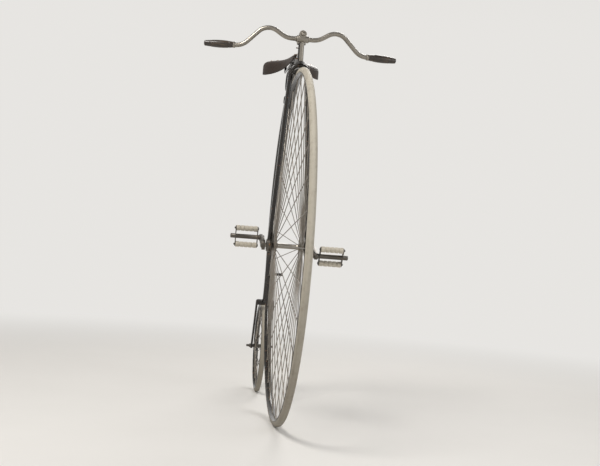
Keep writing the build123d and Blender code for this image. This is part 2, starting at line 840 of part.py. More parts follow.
# Saddle frame: two rails with cross blocks on the spring, a nose block and a cantle plate
spring_bottom = spring_top - spring_thickness
spring_middle = spring_top - spring_thickness / 2
rail_height = spring_top + rail_lift + rail_radius
block_height = 2 * rail_radius
nose_front = leather_sections[0][0] - nose_block_setback
cantle_rear = leather_sections[-1][0]
leather_half = leather_thickness / 2
with BuildPart() as saddle_frame:
    with BuildSketch(Plane((cantle_rear, 0, rail_height), x_dir=(0, 1, 0), z_dir=(1, 0, 0))):
        with Locations((-rail_out, 0), (rail_out, 0)):
            Circle(rail_radius)
    extrude(amount=nose_front - cantle_rear)
    for clip_ahead in rail_clips + [nose_front - nose_block_length / 2]:
        length = nose_block_length if clip_ahead > rail_clips[0] else rail_clip_length
        with Locations((clip_ahead, 0, spring_top)):
            Box(length, 2 * rail_out, block_height, align=(Align.CENTER, Align.CENTER, Align.MIN))
    with Locations((nose_front - nose_block_length / 2, 0, rail_height)):
        Box(
            nose_block_length,
            nose_block_width,
            leather_sections[0][2] - leather_half - rail_height,
            align=(Align.CENTER, Align.CENTER, Align.MIN),
        )
    # The cantle plate follows the leather's arch and its rounded rear corners
    with BuildPart(mode=Mode.PRIVATE) as cantle:
        cantle_band = arch_band(leather_sections[-1], leather_half, leather_half + cantle_depth)
        extrude(cantle_band, amount=seat_corner_radius, dir=(1, 0, 0))
        extrude(
            seat_plan(0) - seat_plan(cantle_thickness),
            amount=seat_plan_half_width,
            both=True,
            mode=Mode.INTERSECT,
        )
    add(cantle.part)
    for side in (-1, 1):
        with Locations((cantle_rear, side * rail_out, rail_height)):
            Box(
                cantle_thickness,
                cantle_post_width,
                leather_sections[-1][2] - cantle_depth - rail_height,
                align=(Align.MIN, Align.CENTER, Align.MIN),
            )
    add(saddle_leather.part, mode=Mode.SUBTRACT)
export(saddle_frame, "saddle_frame")

# Clip plates under the spring, bolted up to the frame's cross blocks
with BuildPart() as saddle_clips:
    with Locations(*[(ahead, 0, spring_bottom) for ahead in rail_clips]):
        Box(
            rail_clip_length,
            2 * rail_out,
            spring_thickness,
            align=(Align.CENTER, Align.CENTER, Align.MAX),
        )
export(saddle_clips, "saddle_clips")

# Saddle spring: a flat bar from a seat on the backbone's front, curled under at the back
with BuildPart() as saddle_spring:
    with BuildSketch(side_plane((0, 0, 0))):
        with BuildLine():
            for half in (-spring_thickness / 2, spring_thickness / 2):
                turn = spring_curl_radius + half
                CenterArc((spring_back, spring_middle - spring_curl_radius), turn, 90, 180)
                for height, end in ((turn, spring_front), (-turn, spring_back + spring_tail)):
                    Line(
                        (spring_back, spring_middle - spring_curl_radius + height),
                        (end, spring_middle - spring_curl_radius + height),
                    )
            for level, end in (
                (spring_middle, spring_front),
                (spring_middle - 2 * spring_curl_radius, spring_back + spring_tail),
            ):
                Line((end, level - spring_thickness / 2), (end, level + spring_thickness / 2))
        make_face()
    extrude(amount=spring_width / 2, both=True)
export(saddle_spring, "saddle_spring")

# Spring seat, a block that fills from the front of the spring down to the backbone
with BuildPart() as spring_seat:
    with Locations((spring_front - spring_seat_length, 0, spring_bottom)):
        Box(
            spring_seat_length,
            spring_seat_width,
            backbone_top_radius,
            align=(Align.MIN, Align.CENTER, Align.MAX),
        )
    add(backbone.part, mode=Mode.SUBTRACT)
    add(neck.part, mode=Mode.SUBTRACT)
export(spring_seat, "spring_seat")

# Spring shackle, a ring round the backbone with a lug under the spring's tail
tail_middle = spring_back + spring_tail / 2
shackle_turn = 180 - degrees(
    asin(sqrt(backbone_path_radius**2 - (tail_middle - seat_setback) ** 2) / backbone_path_radius)
)
shackle_normal = around_hub(shackle_turn, 1) - front_hub
shackle_tangent = left.cross(shackle_normal)
tail_bottom = spring_middle - 2 * spring_curl_radius - spring_thickness / 2
with BuildPart() as spring_shackle:
    shackle_centre = around_hub(shackle_turn, backbone_path_radius)
    with BuildSketch(Plane(shackle_centre, z_dir=shackle_tangent)):
        Circle(backbone_top_radius + shackle_wall)
    extrude(amount=shackle_length / 2, both=True)
    with Locations((tail_middle, 0, tail_bottom)):
        Box(
            shackle_lug_length,
            shackle_lug_width,
            tail_bottom - shackle_centre.Z,
            align=(Align.CENTER, Align.CENTER, Align.MAX),
        )
    add(backbone.part, mode=Mode.SUBTRACT)
export(spring_shackle, "spring_shackle")

# Mounting step: a serrated bar on the left of the backbone
step_centre = on_return(step_slope)
with BuildPart() as mounting_step:
    with BuildSketch(Plane(step_centre, z_dir=left)):
        Circle(step_root_radius)
    extrude(amount=backbone_middle_radius + step_root_radius)
    first_tooth = step_reach - step_teeth * step_tooth_pitch
    points = [(0, -step_thickness / 2), (0, step_thickness / 2)]
    for tooth in range(step_teeth):
        valley = first_tooth + tooth * step_tooth_pitch
        points.append((valley, step_thickness / 2))
        points.append((valley + step_tooth_pitch / 2, step_thickness / 2 + step_tooth_height))
    points += [(step_reach, step_thickness / 2), (step_reach, -step_thickness / 2)]
    with BuildSketch(Plane(step_centre, x_dir=left, z_dir=(1, 0, 0))):
        with BuildLine():
            Polyline(*points, close=True)
        make_face()
    extrude(amount=step_depth / 2, both=True)
    add(backbone.part, mode=Mode.SUBTRACT)
    # Only the piece outside the tube stays
    with Locations(step_centre):
        Box(
            4 * step_depth,
            step_reach,
            4 * step_depth,
            align=(Align.CENTER, Align.MAX, Align.CENTER),
            mode=Mode.SUBTRACT,
        )
export(mounting_step, "mounting_step")
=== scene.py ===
import json
import math

import bpy
import numpy as np
from mathutils import Matrix, Quaternion, Vector


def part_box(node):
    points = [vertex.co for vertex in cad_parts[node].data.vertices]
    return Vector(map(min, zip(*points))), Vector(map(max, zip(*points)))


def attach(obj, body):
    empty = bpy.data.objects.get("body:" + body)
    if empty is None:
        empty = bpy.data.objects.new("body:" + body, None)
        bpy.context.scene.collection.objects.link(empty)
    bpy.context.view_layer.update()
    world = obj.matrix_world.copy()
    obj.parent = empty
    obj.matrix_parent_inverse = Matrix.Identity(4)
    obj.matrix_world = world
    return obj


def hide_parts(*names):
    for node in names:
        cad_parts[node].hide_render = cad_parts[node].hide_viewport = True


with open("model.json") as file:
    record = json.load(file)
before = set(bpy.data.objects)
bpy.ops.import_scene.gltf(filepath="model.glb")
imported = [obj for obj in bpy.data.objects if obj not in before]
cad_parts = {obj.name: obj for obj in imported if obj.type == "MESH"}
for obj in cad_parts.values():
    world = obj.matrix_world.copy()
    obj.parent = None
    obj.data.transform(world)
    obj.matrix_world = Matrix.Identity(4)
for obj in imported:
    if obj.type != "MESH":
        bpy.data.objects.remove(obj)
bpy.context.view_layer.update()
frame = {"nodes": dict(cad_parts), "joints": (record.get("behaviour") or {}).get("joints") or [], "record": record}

nodes = frame["nodes"]
record = frame["record"]
mm = 0.001
leftward = Vector((0, 1, 0))
upward = Vector((0, 0, 1))
forward = Vector((1, 0, 0))
sides = {"left": 1, "right": -1}


def middle(node):
    low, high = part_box(node)
    return (low + high) / 2


def reach(node, direction, origin=Vector((0, 0, 0))):   # how far a node goes along a direction
    places = [(vertex.co - origin).dot(direction) for vertex in nodes[node].data.vertices]
    return min(places), max(places)


def longAxis(node, flat=False):        # the direction in which a node's vertices spread most
    places = np.array([vertex.co for vertex in nodes[node].data.vertices])
    places -= places.mean(axis=0)
    if flat:
        places[:, 1] = 0
    return Vector(np.linalg.eigh(places.T @ places)[1][:, -1])


# places taken from the frame
frontHub = middle("front_tyre")
rearHub = middle("rear_tyre")
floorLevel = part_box("front_tyre")[0].z
joints = {joint["name"]: joint for joint in frame["joints"]}
steerUp = Vector(joints["steering_turn"]["axis"]).normalized()
steerAhead = leftward.cross(steerUp)
pins = {side: Vector(joints["pedal_" + side + "_spin"]["pos_m"]) for side in sides}


def steerPoint(along, ahead=0.0, out=0.0):
    return frontHub + steerUp * along + steerAhead * ahead + leftward * out


# camera comes first; floor and light are made at the end
camera = {
    "place": (4.342, -0.436, -0.728),
    "aim": (0.270, 0.042, -0.692),
    "roll": 4.33,                      # the bicycle stands upright and leans in the picture
    "lens": 66.4,                      # on a 36 mm wide frame
}


def aimCamera():
    place, aim = Vector(camera["place"]), Vector(camera["aim"])
    turn = (aim - place).to_track_quat("-Z", "Y")
    turn = turn @ Quaternion((0, 0, 1), math.radians(camera["roll"]))
    bpy.ops.object.camera_add(location=place, rotation=turn.to_euler())
    eye = bpy.context.object
    eye.name = "photoCamera"
    eye.data.lens = camera["lens"]
    eye.data.sensor_width = 36
    eye.data.clip_end = 60
    bpy.context.scene.camera = eye


def deselect():
    if bpy.context.object and bpy.context.object.mode != "OBJECT":
        bpy.ops.object.mode_set(mode="OBJECT")
    bpy.ops.object.select_all(action="DESELECT")


deselect()
aimCamera()
print("camera set")


class Link:                            # a socket that does sums
    def __init__(self, paint, socket):
        self.paint, self.socket = paint, socket

    def sum(self, operation, first, second=None):
        values = [first] if second is None else [first, second]
        return self.paint.node("ShaderNodeMath", {"operation": operation}, values)

    def __add__(self, other):
        return self.sum("ADD", self, other)

    def __radd__(self, other):
        return self.sum("ADD", other, self)

    def __sub__(self, other):
        return self.sum("SUBTRACT", self, other)

    def __rsub__(self, other):
        return self.sum("SUBTRACT", other, self)

    def __mul__(self, other):
        return self.sum("MULTIPLY", self, other)

    def __rmul__(self, other):
        return self.sum("MULTIPLY", other, self)

    def __abs__(self):
        return self.sum("ABSOLUTE", self)


class Paint:                           # a material, or the world, and its nodes
    def __init__(self, name, world=False):
        self.made = bpy.data.worlds.new(name) if world else bpy.data.materials.new(name)
        self.made.use_nodes = True
        self.tree = self.made.node_tree
        self.tree.nodes.clear()
        self.place = self.node("ShaderNodeTexCoord", output="Object")

    def node(self, kind, settings={}, inputs={}, output=0):
        made = self.tree.nodes.new(kind)
        for key, value in settings.items():
            if key == "stops":
                ramp = made.color_ramp
                while len(ramp.elements) < len(value):
                    ramp.elements.new(0.5)
                for element, (at, colour) in zip(ramp.elements, value):
                    element.position = at
                    element.color = (*colour, 1)
            else:
                setattr(made, key, value)
        pairs = enumerate(inputs) if isinstance(inputs, list) else inputs.items()
        for key, value in pairs:
            socket = made.inputs[key]
            if isinstance(value, Link):
                self.tree.links.new(value.socket, socket)
            elif value is not None:
                socket.default_value = value
        return Link(self, made.outputs[output]) if made.outputs else made

    def stretched(self, stretch):
        return self.node("ShaderNodeMapping", {}, {"Vector": self.place, "Scale": stretch})

    def noise(self, scale, detail=4, rough=0.55, where=None, distort=0.0, output="Fac"):
        return self.node("ShaderNodeTexNoise", {}, {"Vector": where or self.place,
                         "Scale": scale, "Detail": detail, "Roughness": rough,
                         "Distortion": distort}, output)

    def cells(self, scale, feature="F1", where=None):
        return self.node("ShaderNodeTexVoronoi", {"feature": feature},
                         {"Vector": where or self.place, "Scale": scale})

    def step(self, value, low, high, first=0.0, last=1.0):
        return self.node("ShaderNodeMapRange", {"interpolation_type": "SMOOTHSTEP"},
                         {"Value": value, "From Min": low, "From Max": high,
                          "To Min": first, "To Max": last})

    def axis(self, where, name):
        return self.node("ShaderNodeSeparateXYZ", {}, [where], output=name)

    def along(self, direction, origin=(0, 0, 0)):
        moved = self.node("ShaderNodeVectorMath", {"operation": "SUBTRACT"},
                          [self.place, tuple(origin)])
        return self.node("ShaderNodeVectorMath", {"operation": "DOT_PRODUCT"},
                         [moved, tuple(direction)], output="Value")

    def distance(self, origin):
        return self.node("ShaderNodeVectorMath", {"operation": "DISTANCE"},
                         [self.place, tuple(origin)], output="Value")

    def blend(self, mask, first, second):
        first = (*first, 1) if isinstance(first, tuple) else first
        second = (*second, 1) if isinstance(second, tuple) else second
        return self.node("ShaderNodeMix", {"data_type": "RGBA"},
                         {"Factor": mask, 6: first, 7: second}, output=2)

    def bump(self, height, distance, strength=1.0, under=None):
        return self.node("ShaderNodeBump", {}, {"Height": height, "Distance": distance,
                         "Strength": strength, "Normal": under})

    def finish(self, **inputs):
        named = {key.replace("_", " "): value for key, value in inputs.items()}
        shader = self.node("ShaderNodeBsdfPrincipled", {}, named)
        self.node("ShaderNodeOutputMaterial", {}, {"Surface": shader})
        return self.made

    def seenRays(self):                # 1 where the camera, gloss or glass looks at it
        rays = [self.node("ShaderNodeLightPath", output=name)
                for name in ("Is Camera Ray", "Is Glossy Ray", "Is Transmission Ray")]
        return rays[0] + rays[1] + rays[2]


rust = (0.105, 0.042, 0.016)
dust = (0.30, 0.255, 0.20)


def makeEnamel():                      # black stove enamel, chipped and dusty, worn at the feet
    paint = Paint("blackEnamel")
    cloud = paint.noise(9, 5)
    fine = paint.noise(420, 3)
    grime = paint.step(paint.noise(26, 8, 0.68), 0.53, 0.74)
    chipNoise = paint.noise(95, 6, 0.7, distort=0.4)
    low = paint.step(paint.along(upward, (0, 0, floorLevel)), 1.1, 0.15)
    chips = paint.step(chipNoise + low * 0.03, 0.655, 0.69)
    rim = paint.step(chipNoise + low * 0.03, 0.632, 0.655) * (1 - chips)
    colour = paint.blend(cloud, (0.009, 0.008, 0.007), (0.019, 0.016, 0.013))
    colour = paint.blend(grime * (0.10 + low * 0.24), colour, dust)
    colour = paint.blend(rim * 0.7, colour, (0.20, 0.10, 0.05))
    colour = paint.blend(chips * 0.9, colour, rust)
    rough = 0.22 + grime * 0.26 + chips * 0.42 + fine * 0.05
    shape = paint.bump(cloud, 0.0010, 0.25)
    shape = paint.bump(1 - chips, 0.0003, 0.8, shape)
    return paint.finish(Base_Color=colour, Roughness=rough, Coat_Weight=0.32 - grime * 0.2,
                        Coat_Roughness=0.10, Specular_IOR_Level=0.28, Normal=shape)


steels = {
    # slot: bright and dull colour, roughness range, rust threshold
    "bright_steel": ((0.37, 0.343, 0.30), (0.225, 0.205, 0.175), (0.18, 0.38), 0.655),
    "spoke_steel": ((0.34, 0.315, 0.28), (0.19, 0.172, 0.148), (0.28, 0.50), 0.61),
    "dark_steel": ((0.155, 0.145, 0.13), (0.075, 0.068, 0.06), (0.28, 0.50), 0.63),
}


def makeSteel(name, bright, dull, roughness, rustLevel):
    paint = Paint(name)
    cloud = paint.noise(34, 6, 0.6)
    fine = paint.noise(900, 2)
    spotNoise = paint.noise(150, 7, 0.72, distort=0.5)
    spots = paint.step(spotNoise, rustLevel, rustLevel + 0.05)
    halo = paint.step(spotNoise, rustLevel - 0.07, rustLevel)
    film = paint.step(paint.noise(18, 6, 0.66), 0.5, 0.74)
    scratch = paint.step(paint.noise(1, 3, 0.6, paint.stretched((900, 60, 700))), 0.60, 0.70)
    colour = paint.blend(cloud, bright, dull)
    colour = paint.blend(film * 0.34, colour, (0.30, 0.235, 0.17))
    colour = paint.blend(halo * 0.35, colour, (0.22, 0.13, 0.07))
    colour = paint.blend(spots * 0.85, colour, rust)
    low, high = roughness
    rough = low + cloud * (high - low) + spots * 0.4 + film * 0.1 + fine * 0.04 + scratch * 0.08
    metal = 1 - spots * 0.85 - film * 0.12
    shape = paint.bump(fine, 0.00006, 0.5)
    shape = paint.bump(scratch, 0.00005, 0.4, shape)
    shape = paint.bump(cloud, 0.0005, 0.2, shape)
    return paint.finish(Base_Color=colour, Roughness=rough, Metallic=metal, Normal=shape)


def makeTyreRubber():                  # perished grey rubber, ridged lengthwise and grimed, with painted shade over its lower part
    paint = Paint("oldTyre")
    cloud = paint.noise(7, 6, 0.62)
    speck = paint.noise(260, 6, 0.7)
    dirt = paint.step(paint.noise(38, 8, 0.7), 0.46, 0.72)
    across = paint.axis(paint.place, "Y")
    tread = paint.step(abs(across), 0.0065, 0.0015)
    ridges = paint.node("ShaderNodeMath", {"operation": "SINE"}, [across * 2100])
    line = paint.step(ridges, 0.35, 0.95)
    bend = paint.node("ShaderNodeVectorMath", {"operation": "SCALE"},
                      {0: paint.noise(150, 3, output="Color"), "Scale": 0.012})
    bent = paint.node("ShaderNodeVectorMath", {"operation": "ADD"}, [paint.place, bend])
    patch = paint.step(paint.noise(24, 4, 0.6), 0.50, 0.66)
    cracks = paint.step(paint.cells(360, "DISTANCE_TO_EDGE", bent), 0.07, 0.0) * patch
    # painted shade: a mask that grows towards the floor
    low = paint.step(paint.along(upward, (0, 0, floorLevel)), 0.66, 0.02)
    colour = paint.blend(cloud, (0.43, 0.395, 0.325), (0.56, 0.52, 0.435))
    colour = paint.blend(dirt * 0.40, colour, (0.22, 0.185, 0.135))
    colour = paint.blend(tread * 0.35, colour, (0.60, 0.56, 0.475))
    colour = paint.blend(line * 0.22, colour, (0.24, 0.205, 0.155))
    # painted shade: the lower part of the tyre darkened to a deep brown
    colour = paint.blend(low * 0.72, colour, (0.145, 0.122, 0.09))
    colour = paint.blend(cracks * 0.45, colour, (0.15, 0.12, 0.085))
    rough = 0.62 + dirt * 0.18 - tread * 0.08
    shape = paint.bump(speck, 0.0003, 0.55)
    shape = paint.bump(line, 0.0003, 0.5, shape)
    shape = paint.bump(1 - cracks, 0.00025, 0.5, shape)
    return paint.finish(Base_Color=colour, Roughness=rough, Normal=shape)


def makePedalRubber():
    paint = Paint("pedalRubber")
    cloud = paint.noise(60, 6, 0.65)
    speck = paint.noise(500, 4, 0.7)
    scuff = paint.step(paint.noise(120, 7, 0.7), 0.5, 0.68)
    pits = paint.step(paint.cells(420), 0.32, 0.12)
    colour = paint.blend(cloud, (0.50, 0.455, 0.375), (0.63, 0.585, 0.49))
    colour = paint.blend(scuff * 0.35, colour, (0.27, 0.225, 0.165))
    colour = paint.blend(pits * 0.3, colour, (0.20, 0.165, 0.12))
    shape = paint.bump(speck, 0.00025, 0.5)
    return paint.finish(Base_Color=colour, Roughness=0.7 + scuff * 0.15,
                        Normal=paint.bump(1 - pits, 0.0003, 0.6, shape))


def makeHorn():                        # dark turned horn, streaked along the grip
    paint = Paint("gripHorn")
    streak = paint.noise(1, 7, 0.62, paint.stretched((150, 16, 150)), 0.6)
    cloud = paint.noise(22, 4)
    wear = paint.step(paint.noise(70, 6, 0.7), 0.52, 0.75)
    tone = paint.node("ShaderNodeValToRGB", {"stops": [
        (0.32, (0.014, 0.011, 0.009)), (0.50, (0.036, 0.026, 0.018)),
        (0.68, (0.095, 0.062, 0.036))]}, [streak])
    colour = paint.blend(cloud * 0.35, tone, (0.03, 0.022, 0.016))
    colour = paint.blend(wear * 0.35, colour, (0.13, 0.088, 0.055))
    return paint.finish(Base_Color=colour, Roughness=0.30 + wear * 0.25, Coat_Weight=0.25,
                        Coat_Roughness=0.2, Normal=paint.bump(streak, 0.0002, 0.4))


def makeLeather():                     # dark saddle leather, polished on top and creased
    paint = Paint("saddleLeather")
    pores = paint.cells(620)
    crease = paint.noise(1, 6, 0.6, paint.stretched((70, 34, 34)), 1.4)
    cross = paint.step(paint.noise(1, 5, 0.6, paint.stretched((24, 150, 60)), 1.6), 0.52, 0.6)
    cloud = paint.noise(17, 6, 0.6)
    worn = paint.step(paint.noise(34, 7, 0.68), 0.5, 0.74)
    polish = paint.step(paint.axis(paint.place, "Z"), -0.024, 0.002)
    scuffs = paint.step(paint.noise(1, 5, 0.7, paint.stretched((40, 240, 160))), 0.62, 0.70)
    colour = paint.blend(cloud, (0.014, 0.008, 0.005), (0.034, 0.018, 0.010))
    colour = paint.blend(worn * 0.38, colour, (0.080, 0.043, 0.023))
    colour = paint.blend(polish * 0.22, colour, (0.068, 0.033, 0.017))
    colour = paint.blend(scuffs * 0.22, colour, (0.14, 0.088, 0.055))
    colour = paint.blend(cross * 0.18, colour, (0.010, 0.006, 0.004))
    rough = 0.50 - polish * 0.15 + worn * 0.16 + scuffs * 0.10
    shape = paint.bump(pores, 0.00035, 0.5)
    shape = paint.bump(crease, 0.0012, 0.25, shape)
    shape = paint.bump(1 - cross, 0.0006, 0.18, shape)
    return paint.finish(Base_Color=colour, Roughness=rough, Coat_Weight=0.06,
                        Coat_Roughness=0.3, Specular_IOR_Level=0.32, Normal=shape)


def makeCopper():                      # dulled copper of the rivets and oil cups
    paint = Paint("oldCopper")
    cloud = paint.noise(60, 6, 0.65)
    tarnish = paint.step(paint.noise(110, 7, 0.7), 0.46, 0.7)
    colour = paint.blend(cloud, (0.29, 0.175, 0.105), (0.19, 0.11, 0.065))
    colour = paint.blend(tarnish * 0.6, colour, (0.06, 0.036, 0.02))
    return paint.finish(Base_Color=colour, Roughness=0.26 + tarnish * 0.3,
                        Metallic=1 - tarnish * 0.35, Normal=paint.bump(cloud, 0.0002, 0.3))


finishes = {
    "black_enamel": makeEnamel(),
    "old_tyre": makeTyreRubber(),
    "pedal_rubber": makePedalRubber(),
    "grip_horn": makeHorn(),
    "saddle_leather": makeLeather(),
    "old_copper": makeCopper(),
}
for slotName, (bright, dull, roughness, rustLevel) in steels.items():
    finishes[slotName] = makeSteel(slotName.title().replace("_", ""), bright, dull, roughness,
                                   rustLevel)
slotOf = {entry["node"]: entry["material_slot"] for entry in record["subparts"]}
bodyOf = {name: body for body, names in record["behaviour"]["bodies"].items() for name in names}
for name, slotName in slotOf.items():
    nodes[name].data.materials.clear()
    nodes[name].data.materials.append(finishes[slotName])
print("materials made")


def activate(piece):
    deselect()
    piece.select_set(True)
    bpy.context.view_layer.objects.active = piece


def squareTo(axis):                    # a direction square to an axis
    other = upward if abs(axis.normalized().z) < 0.9 else forward
    return axis.cross(other).normalized()


def turned(profile, foot, axis, steps=32):
    # a lathe: the outline of (radius, distance along) is drawn edge by edge, then spun
    axis = axis.normalized()
    outward = squareTo(axis)
    places = [foot + outward * radius + axis * along for radius, along in profile]
    deselect()
    bpy.ops.mesh.primitive_plane_add(size=mm, location=places[0])
    piece = bpy.context.object
    bpy.ops.object.mode_set(mode="EDIT")
    bpy.ops.mesh.merge(type="CENTER")
    for before, after in zip(places, places[1:]):
        bpy.ops.mesh.extrude_region_move(TRANSFORM_OT_translate={"value": after - before})
    bpy.ops.mesh.select_all(action="SELECT")
    bpy.ops.mesh.spin(steps=steps, angle=math.tau, center=foot, axis=axis)
    bpy.ops.mesh.select_all(action="SELECT")
    bpy.ops.mesh.remove_doubles(threshold=0.00002)
    bpy.ops.mesh.normals_make_consistent(inside=False)
    bpy.ops.object.mode_set(mode="OBJECT")
    bpy.ops.object.transform_apply(location=True, rotation=True, scale=True)
    return piece


def rounded(profile, radius=0.4 * mm, closed=False):
    # an outline with each corner cut by a short chamfer, for edges that catch the light
    corners = len(profile)
    soft = []
    for index, point in enumerate(profile):
        ends = not closed and index in (0, corners - 1)
        if ends or point[0] == 0:
            soft.append(point)
            continue
        here = Vector(point)
        for other in (profile[index - 1], profile[(index + 1) % corners]):
            step = Vector(other) - here
            soft.append(tuple(here + step.normalized() * min(radius, step.length * 0.4)))
    return soft + [soft[0]] if closed else soft


def joined(pieces):
    deselect()
    for piece in pieces:
        piece.select_set(True)
    bpy.context.view_layer.objects.active = pieces[0]
    if len(pieces) > 1:
        bpy.ops.object.join()
    return pieces[0]


def copied(piece, matrix):             # one more copy with its own mesh
    twin = bpy.data.objects.new(piece.name, piece.data.copy())
    twin.data.transform(matrix)
    if matrix.determinant() < 0:
        twin.data.flip_normals()
    bpy.context.collection.objects.link(twin)
    return twin


def turnAbout(centre, axis, angle):
    shift = Matrix.Translation(centre)
    return shift @ Matrix.Rotation(angle, 4, axis) @ shift.inverted()


def ring(piece, count, centre, axis, first=0.0):       # copies at an even pitch round an axis
    start = copied(piece, turnAbout(centre, axis, first))
    bpy.data.objects.remove(piece)
    others = [copied(start, turnAbout(centre, axis, math.tau * index / count))
              for index in range(1, count)]
    return joined([start] + others)


def settle(piece, name, body, slotName, replaces=(), angle=35):
    activate(piece)
    bpy.ops.object.transform_apply(location=True, rotation=True, scale=True)
    bpy.ops.object.shade_smooth_by_angle(angle=math.radians(angle))
    piece.name = piece.data.name = name
    piece.data.materials.clear()
    piece.data.materials.append(finishes[slotName])
    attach(piece, body)
    if replaces:
        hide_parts(*replaces)
    return piece


def modify(piece, kind, **settings):
    activate(piece)
    modifier = piece.modifiers.new(kind.title(), kind)
    for key, value in settings.items():
        setattr(modifier, key, value)
    bpy.ops.object.modifier_apply(modifier=modifier.name)


# wheels
wheels = {
    "front": {
        "hub": frontHub, "body": "front_wheel", "spokes": 30, "spokeRadius": 1.6 * mm,
        "spokeFoot": 47.3 * mm, "footOut": 50 * mm, "headOut": 2.5 * mm, "rimDepth": 4.0 * mm,
        "flange": 52 * mm, "boss": 19 * mm, "bore": 12 * mm, "bossWidth": 12 * mm,
        "firstTurn": {"left": 6, "right": 0}, "tyreSteps": 240,
    },
    "rear": {
        "hub": rearHub, "body": "rear_wheel", "spokes": 12, "spokeRadius": 1.4 * mm,
        "spokeFoot": 21.8 * mm, "footOut": 19 * mm, "headOut": 2.5 * mm, "rimDepth": 4.0 * mm,
        "flange": 24 * mm, "boss": 13 * mm, "bore": 10 * mm, "bossWidth": 8 * mm,
        "firstTurn": {"left": 15, "right": 0}, "tyreSteps": 160,
    },
}


def signedPower(value, power):
    return math.copysign(abs(value) ** power, value)


tyreSizes = {"squareness": 0.90, "flats": 28}
rimSizes = {
    "gap": 0.3 * mm, "wall": 2.2 * mm, "edgeTurn": 60, "steps": 12,
    "bellyDepth": 0.38, "bellyTurn": 24, "beadSize": 0.75,
}
spokeSizes = {                         # shares of the wire's radius, and places along it
    "collar": 1.75, "collarLength": 2.6 * mm, "collarEnd": 3.6 * mm, "taperEnd": 9 * mm,
    "butt": 1.45, "buttFrom": 17 * mm, "buttTaper": 2 * mm, "head": 2.1,
}


def makeTyre(name, wheel):
    low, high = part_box(name + "_tyre")
    section = (high.y - low.y) / 2
    middleRadius = (high.x - low.x) / 2 - section
    squareness, flats = tyreSizes["squareness"], tyreSizes["flats"]
    profile = []
    for index in range(flats + 1):
        turn = math.tau * index / flats
        profile.append((middleRadius + section * signedPower(math.cos(turn), squareness),
                        section * signedPower(math.sin(turn), squareness)))
    tyre = turned(profile, wheel["hub"], leftward, wheel["tyreSteps"])
    settle(tyre, name + "Tyre", wheel["body"], "old_tyre", [name + "_tyre"], 60)
    return middleRadius, section


def makeRim(name, wheel, middleRadius, section):
    # a crescent: a seat for the tyre, rolled edges and a deeper belly where the spokes end
    sizes = rimSizes
    gap, wall, edgeTurn, steps = (sizes[key] for key in ("gap", "wall", "edgeTurn", "steps"))
    seat, belly = section + gap, section + gap + wall
    inner, outer = [], []
    for index in range(steps + 1):
        turn = math.radians(edgeTurn * (1 - 2 * index / steps))
        bulge = math.exp(-(turn / math.radians(sizes["bellyTurn"])) ** 2)
        deep = belly + wheel["rimDepth"] * sizes["bellyDepth"] * bulge
        inner.append((middleRadius - seat * math.cos(turn), seat * math.sin(turn)))
        outer.append((middleRadius - deep * math.cos(turn), deep * math.sin(turn)))
    beads = []
    for side in (-1, 1):
        turn = math.radians(edgeTurn) * side
        centre = (seat + wall / 2) * Vector((-math.cos(turn), math.sin(turn)))
        spread = Vector((math.sin(turn), math.cos(turn))) * side
        across = Vector((-math.cos(turn), math.sin(turn)))
        for part in (30, 90, 150):
            swing = math.radians(part)
            reachOut = across * -math.cos(swing) + spread * math.sin(swing)
            beads.append(centre + reachOut * wall * sizes["beadSize"])
    beads = [(middleRadius + bead.x, bead.y) for bead in beads]
    profile = inner + beads[:3] + outer[::-1] + beads[3:][::-1]
    rim = turned(profile + profile[:1], wheel["hub"], leftward, wheel["tyreSteps"])
    settle(rim, name + "Rim", wheel["body"], "black_enamel", [name + "_rim"], 50)
    return middleRadius - belly


def makeSpokes(name, wheel, side, headRadius):
    out = leftward * sides[side]
    foot = wheel["hub"] + forward * wheel["spokeFoot"] + out * wheel["footOut"]
    head = wheel["hub"] + forward * headRadius + out * wheel["headOut"]
    length = (head - foot).length
    thick = wheel["spokeRadius"]
    collar = wheel["flange"] - wheel["spokeFoot"]
    sizes = spokeSizes
    wide, butt, top = thick * sizes["collar"], thick * sizes["butt"], thick * sizes["head"]
    profile = [                        # locked at the flange, plain wire, then butt and head
        (0, 0), (thick, 0), (thick, collar), (wide, collar + 0.4 * mm),
        (wide, collar + sizes["collarLength"]), (thick * 1.1, collar + sizes["collarEnd"]),
        (thick, collar + sizes["taperEnd"]), (thick, length - sizes["buttFrom"]),
        (butt, length - sizes["buttFrom"] + sizes["buttTaper"]), (butt, length - 2 * mm),
        (top, length - 1 * mm), (top, length + 1 * mm), (0, length + 1 * mm),
    ]
    spoke = turned(profile, foot, head - foot, 10)
    spokes = ring(spoke, wheel["spokes"], wheel["hub"], leftward,
                  math.radians(wheel["firstTurn"][side]))
    settle(spokes, name + "Spokes" + side.title(), wheel["body"], "spoke_steel",
           [name + "_spokes_" + side], 45)


def makeFlange(name, wheel, side):
    half, rimHalf, webHalf = (wheel["bossWidth"] * share for share in (0.5, 0.375, 0.2))
    rimIn = wheel["flange"] * 0.82
    profile = [
        (wheel["bore"], -half), (wheel["boss"], -half), (wheel["boss"] + 2 * mm, -webHalf),
        (rimIn - 1.5 * mm, -webHalf), (rimIn, -rimHalf), (wheel["flange"], -rimHalf),
        (wheel["flange"], rimHalf), (rimIn, rimHalf), (rimIn - 1.5 * mm, webHalf),
        (wheel["boss"] + 2 * mm, webHalf), (wheel["boss"], half), (wheel["bore"], half),
    ]
    foot = wheel["hub"] + leftward * sides[side] * wheel["footOut"]
    flange = turned(rounded(profile, 0.7 * mm, True), foot, leftward * sides[side], 72)
    settle(flange, name + "Flange" + side.title(), wheel["body"], "spoke_steel")


for name, wheel in wheels.items():
    middleRadius, section = makeTyre(name, wheel)
    headRadius = makeRim(name, wheel, middleRadius, section)
    for side in sides:
        makeSpokes(name, wheel, side, headRadius)
        makeFlange(name, wheel, side)
print("wheels made")


mergeDistances = {                     # most meshes merge at a hundredth of a millimetre
    "crank_left": 0.1 * mm, "crank_right": 0.1 * mm,   # short edges would hold the bevel back
}


